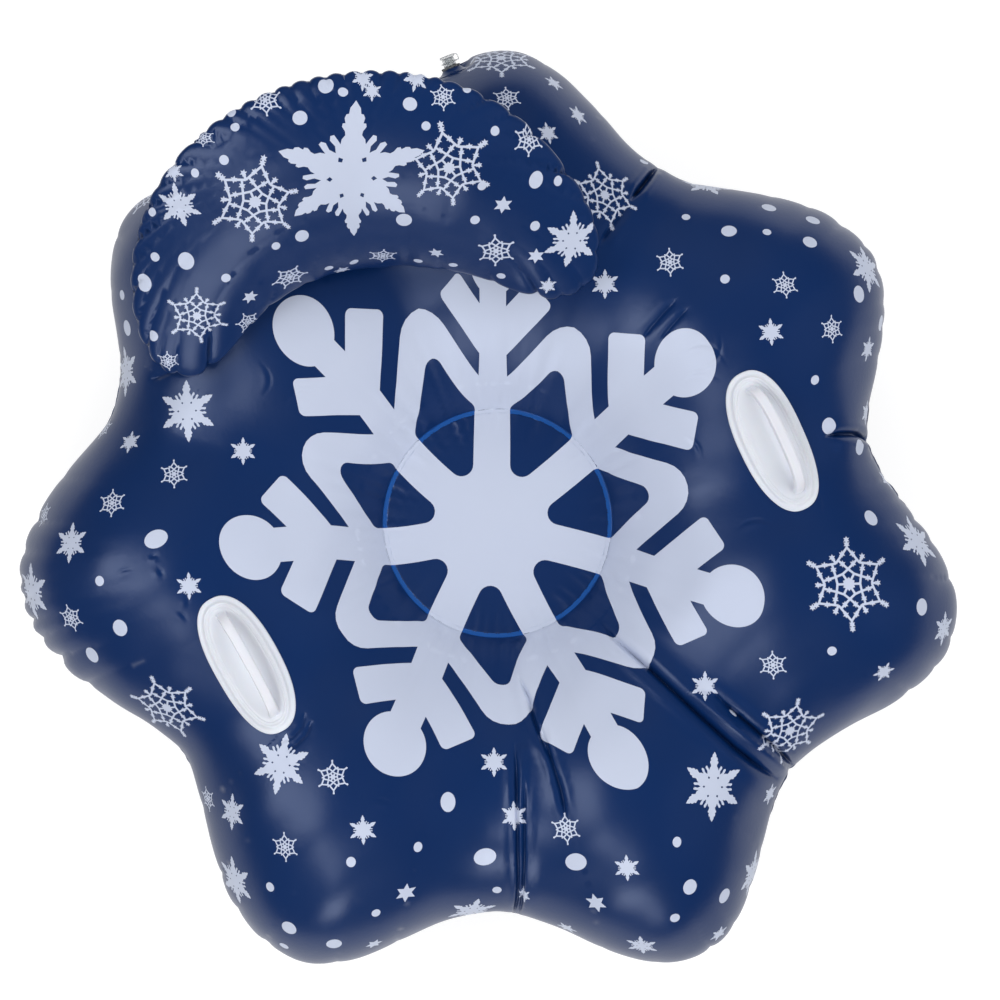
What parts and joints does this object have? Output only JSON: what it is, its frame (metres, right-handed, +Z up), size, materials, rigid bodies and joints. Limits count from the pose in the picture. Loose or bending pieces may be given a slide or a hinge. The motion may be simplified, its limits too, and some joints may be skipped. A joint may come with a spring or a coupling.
{
  "type": "inflatable snow sled",
  "caption": "Flower-shaped inflatable snow sled with a welded seat disc, a crescent backrest that folds up, moulded grab handles and push-in valves.",
  "frame": {"origin": "centre of the seat disc's top face", "axes": "+Z up, -Y towards the front lobe, +Y towards the backrest, +X to the right as seen by somebody who sits on it with their back to the backrest"},
  "size_m": [0.963, 0.9736, 0.3817],
  "materials": {
    "navy_film": "soft PVC film in dark navy with a satin gloss and a pale printed snowflake ornament",
    "white_moulding": "soft moulded PVC, white, satin",
    "clear_moulding": "soft moulded PVC, clear to milky, glossy"
  },
  "bodies": {
    "tube": {"tube_top_sheet": "navy_film", "tube_bottom_sheet": "navy_film", "seat_reinforcement_disc": "navy_film", "left_handle_base": "white_moulding", "left_handle_grip": "white_moulding", "right_handle_base": "white_moulding", "right_handle_grip": "white_moulding", "left_backrest_tab": "navy_film", "right_backrest_tab": "navy_film", "main_valve_collar": "navy_film"},
    "backrest": {"backrest_front_sheet": "navy_film", "backrest_rear_sheet": "navy_film", "backrest_valve_collar": "navy_film"},
    "main_valve": {"main_valve_stem": "clear_moulding"},
    "main_plug": {"main_valve_plug": "clear_moulding", "main_valve_strap": "clear_moulding"},
    "main_flap": {"main_valve_flap": "clear_moulding"},
    "backrest_valve": {"backrest_valve_stem": "clear_moulding"},
    "backrest_plug": {"backrest_valve_plug": "clear_moulding", "backrest_valve_strap": "clear_moulding"},
    "backrest_flap": {"backrest_valve_flap": "clear_moulding"}
  },
  "joints": [
    {"name": "backrest_recline", "type": "hinge", "parent": "tube", "child": "backrest", "pos_m": [-0.01837, 0.23263, 0.11891], "axis": [0.9699, -0.2436, 0], "range_deg": [0, 50]},
    {"name": "main_valve_push", "type": "slide", "parent": "tube", "child": "main_valve", "axis": [-0.0421, -0.9852, -0.166], "range_m": [0, 0.012]},
    {"name": "main_plug_pull", "type": "slide", "parent": "main_valve", "child": "main_plug", "axis": [0.0421, 0.9852, 0.166], "range_m": [0, 0.012]},
    {"name": "main_flap_open", "type": "hinge", "parent": "main_valve", "child": "main_flap", "pos_m": [0.1431, 0.4335, 0.0215], "axis": [0.0071, 0.1658, -0.9861], "range_deg": [0, 60], "stiffness_Nm_per_rad": 0.0002, "springref_deg": -11.46},
    {"name": "backrest_valve_push", "type": "slide", "parent": "backrest", "child": "backrest_valve", "axis": [-0.4589, -0.4588, 0.7608], "range_m": [0, 0.012]},
    {"name": "backrest_plug_pull", "type": "slide", "parent": "backrest_valve", "child": "backrest_plug", "axis": [0.4589, 0.4588, -0.7608], "range_m": [0, 0.012]},
    {"name": "backrest_flap_open", "type": "hinge", "parent": "backrest_valve", "child": "backrest_flap", "pos_m": [0.1134, 0.3682, 0.1631], "axis": [-0.5381, -0.5379, -0.6489], "range_deg": [0, 60], "stiffness_Nm_per_rad": 0.0002, "springref_deg": -11.46}
  ]
}
